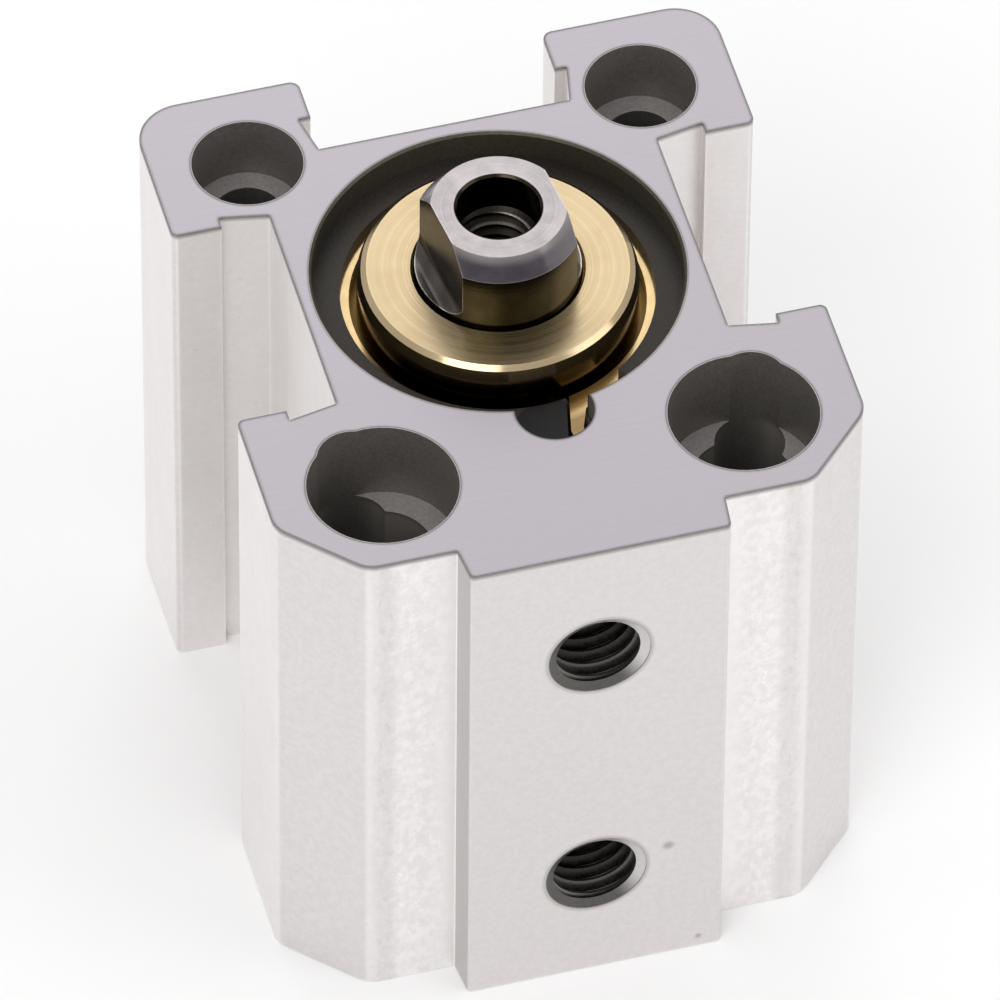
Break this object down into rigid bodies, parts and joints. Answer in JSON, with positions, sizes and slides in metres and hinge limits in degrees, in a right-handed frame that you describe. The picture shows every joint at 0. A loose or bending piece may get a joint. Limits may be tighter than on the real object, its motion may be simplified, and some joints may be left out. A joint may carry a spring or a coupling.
{
  "type": "pneumatic cylinder",
  "caption": "Short-stroke double-acting air cylinder: square profile body with sensor grooves, brass rod bearing, threaded rod end, air ports in the front face.",
  "frame": {"origin": "on the piston axis, in the bottom face of the body, which is the end opposite the rod", "axes": "+Z is the way the piston rod moves out, -Y is the side with the air ports, +X completes a right-handed frame"},
  "size_m": [0.029, 0.0329, 0.035],
  "materials": {
    "body": "satin, hard anodised bores",
    "brass": "turned",
    "rod_steel": "ground and polished",
    "screw_steel": "oiled black",
    "plain_steel": "zinc plated",
    "piston_aluminium": "turned",
    "magnet": "plastic-bonded ferrite",
    "seal_rubber": "matte",
    "bumper_rubber": "polyurethane, satin",
    "ptfe": "satin"
  },
  "bodies": {
    "barrel": {"cylinder_body": "body", "bearing_cap": "brass", "snap_ring": "brass", "cap_o_ring": "seal_rubber", "rod_seal": "seal_rubber", "seal_retainer": "plain_steel", "front_bumper": "bumper_rubber", "rear_bumper": "bumper_rubber", "rear_cover": "piston_aluminium", "rear_o_ring": "seal_rubber", "rear_retaining_ring": "screw_steel"},
    "piston_seals": {"piston_seal": "seal_rubber", "wear_ring": "ptfe"},
    "rod": {"piston_rod": "rod_steel", "piston_front": "piston_aluminium", "piston_rear": "piston_aluminium", "magnet_ring": "magnet", "rod_o_ring": "seal_rubber", "piston_screw": "screw_steel", "screw_washer": "plain_steel"}
  },
  "joints": [
    {"name": "rod_slide", "type": "slide", "parent": "barrel", "child": "piston_seals", "axis": [0, 0, 1], "range_m": [0, 0.01]},
    {"name": "rod_spin", "type": "hinge", "parent": "piston_seals", "child": "rod", "pos_m": [0, 0, 0.01], "axis": [0, 0, 1], "continuous": true}
  ]
}
